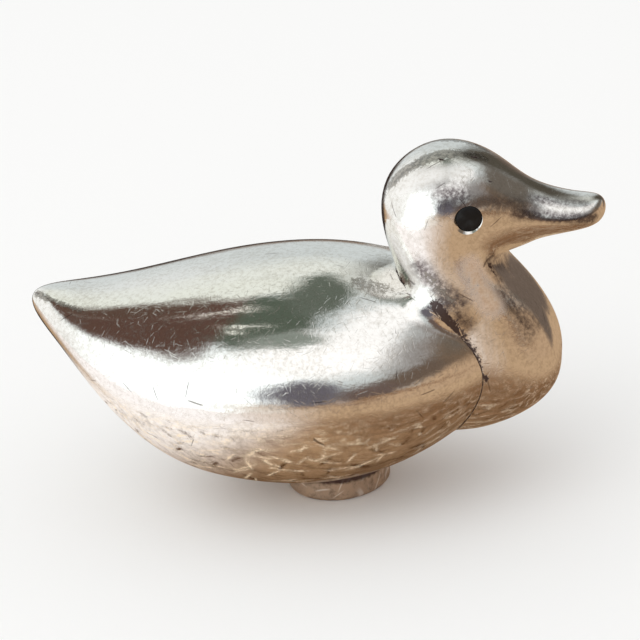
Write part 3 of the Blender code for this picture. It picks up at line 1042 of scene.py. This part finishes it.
def make_floor():
    """Lay a wide pale floor that the metal mirrors as a table top."""
    stage = bpy.context.scene.duck_stage
    half = stage.floor_half
    corners = [(-half, -half, 0.0), (half, -half, 0.0), (half, half, 0.0), (-half, half, 0.0)]
    floor = new_piece("floor", corners, [(0, 1, 2, 3)])
    floor.location.z = -stage.floor_drop
    material, sheet, shader = new_material("pale_floor")
    point = sheet.point()
    mirrored = sheet.ray("Is Glossy Ray")
    color = sheet.mix(mirrored, stage.floor, table_top(sheet, point))
    feed(sheet, shader, Base_Color=color, Roughness=0.9, Specular_IOR_Level=0.0)
    clear = sheet.node("ShaderNodeBsdfTransparent", {})
    seen_through = mirrored * (1 - mirrored_floor(sheet, point))
    both = sheet.node("ShaderNodeMixShader", {}, seen_through, Wire(sheet, shader.outputs["BSDF"]), clear)
    sheet.tree.links.new(both.socket, sheet.tree.nodes["Material Output"].inputs["Surface"])
    floor.data.materials.append(material)


def make_world():
    """Surround the duck with plain white light, and show the metal a room."""
    stage, tones = bpy.context.scene.duck_stage, bpy.context.scene.duck_room
    world = bpy.data.worlds.new("studio")
    bpy.context.scene.world = world
    world.use_nodes = True
    tree = world.node_tree
    tree.nodes.clear()
    sheet = Sheet(tree)
    way = sheet.node("ShaderNodeTexCoord", {}, output="Generated")
    wobble = sheet.node("ShaderNodeTexNoise", {}, output="Color", Vector=way, Scale=6.0, Detail=4.0)
    bent = sheet.vector("ADD", way, sheet.scaled(sheet.moved(wobble, -0.5), 0.12))
    room = tones.wall
    for *oval, colour in ROOM:
        room = sheet.mix(patch(sheet, bent, *oval), room, from_screen(*colour))
    board = sheet.mix(patch(sheet, way, *FAR_BRIGHT), tones.far_table, tones.far_bright)
    grain = sheet.noise(sheet.scaled(way, 1.0, 1.0, 0.3), scale=40.0, detail=4.0, rough=0.7)
    board = sheet.mix((grain - 0.45).clamped() * 1.2, board, tones.far_grain)
    _, _, rise = sheet.split(way)
    room = sheet.mix(1 - rise.step(-0.24, -0.18), room, board)
    room = sheet.mix(patch(sheet, way, *FAR_DARK), room, tones.far_dark)
    plain = sheet.mix(sheet.ray("Is Glossy Ray"), stage.around, room)
    clear = sheet.ray("Is Camera Ray").high(sheet.ray("Is Transmission Ray"))
    seen = sheet.mix(clear, plain, stage.backdrop)
    light = sheet.node("ShaderNodeBackground", {}, seen, 1.0)
    out = tree.nodes.new("ShaderNodeOutputWorld")
    tree.links.new(light.socket, out.inputs["Surface"])


def make_lamp():
    """Hang a soft lamp to the upper left that metal doesn't mirror."""
    stage = bpy.context.scene.duck_stage
    data = bpy.data.lights.new("soft_lamp", "AREA")
    data.size = stage.lamp_size
    data.energy = stage.lamp
    lamp = bpy.data.objects.new("soft_lamp", data)
    bpy.context.scene.collection.objects.link(lamp)
    lamp.location = stage.lamp_place
    lamp.rotation_euler = (-lamp.location).to_track_quat("-Z", "Y").to_euler()
    lamp.visible_glossy = False
    lamp.visible_camera = False


def make_camera():
    """Set the camera where the photograph was taken from."""
    stage = bpy.context.scene.duck_stage
    roll = stage.roll
    back, level = bearing(stage.azimuth, stage.elevation)
    rise = back.cross(level)
    right = level * math.cos(roll) - rise * math.sin(roll)
    up = rise * math.cos(roll) + level * math.sin(roll)
    middle = Vector((0.0, 0.0, stage.aim_height))
    place = middle + back * stage.distance
    aim = middle + up * stage.rise + right * stage.drift
    back = (place - aim).normalized()
    right = (right - back * right.dot(back)).normalized()
    up = back.cross(right)
    data = bpy.data.cameras.new("camera")
    data.lens = stage.lens
    data.sensor_width = 36.0
    data.clip_start = 0.01
    camera = bpy.data.objects.new("camera", data)
    bpy.context.scene.collection.objects.link(camera)
    turn = Matrix((right, up, back)).transposed().to_4x4()
    camera.matrix_world = Matrix.Translation(place) @ turn
    bpy.context.scene.camera = camera


class DUCK_PT_panel(bpy.types.Panel):
    """Lists the duck's operators and values."""
    bl_idname = "DUCK_PT_panel"
    bl_label = "Silver duck"
    bl_space_type = "VIEW_3D"
    bl_region_type = "UI"
    bl_category = "Duck"

    def draw(self, context):
        """Draw the buttons and values."""
        for operator in OPERATORS:
            self.layout.operator(operator.bl_idname)
        for name, group in GROUPS.items():
            box = self.layout.box()
            for prop in group.__annotations__:
                box.prop(getattr(context.scene, name), prop)


OPERATORS = (DUCK_OT_castings, DUCK_OT_eyes, DUCK_OT_foot, DUCK_OT_fasteners, DUCK_OT_stage)
GROUPS = {"duck_castings": DuckCastingSizes, "duck_eyes": DuckEyeSizes, "duck_foot": DuckFootSizes,
          "duck_finish": DuckFinish, "duck_room": DuckRoom, "duck_stage": DuckStage}


def register():
    """Register the classes and hang the values on the scene."""
    for group in GROUPS.values():
        bpy.utils.register_class(group)
    for part in (*OPERATORS, DUCK_PT_panel):
        bpy.utils.register_class(part)
    for name, group in GROUPS.items():
        setattr(bpy.types.Scene, name, bpy.props.PointerProperty(type=group))


def unregister():
    """Take the values and the classes away."""
    for name in GROUPS:
        delattr(bpy.types.Scene, name)
    for part in (DUCK_PT_panel, *OPERATORS, *GROUPS.values()):
        bpy.utils.unregister_class(part)


def main():
    """Build the duck and its stage."""
    register()
    bpy.ops.duck.castings()
    bpy.ops.duck.eyes()
    bpy.ops.duck.foot()
    bpy.ops.duck.fasteners()
    bpy.ops.duck.stage()


if __name__ == "__main__":
    main()
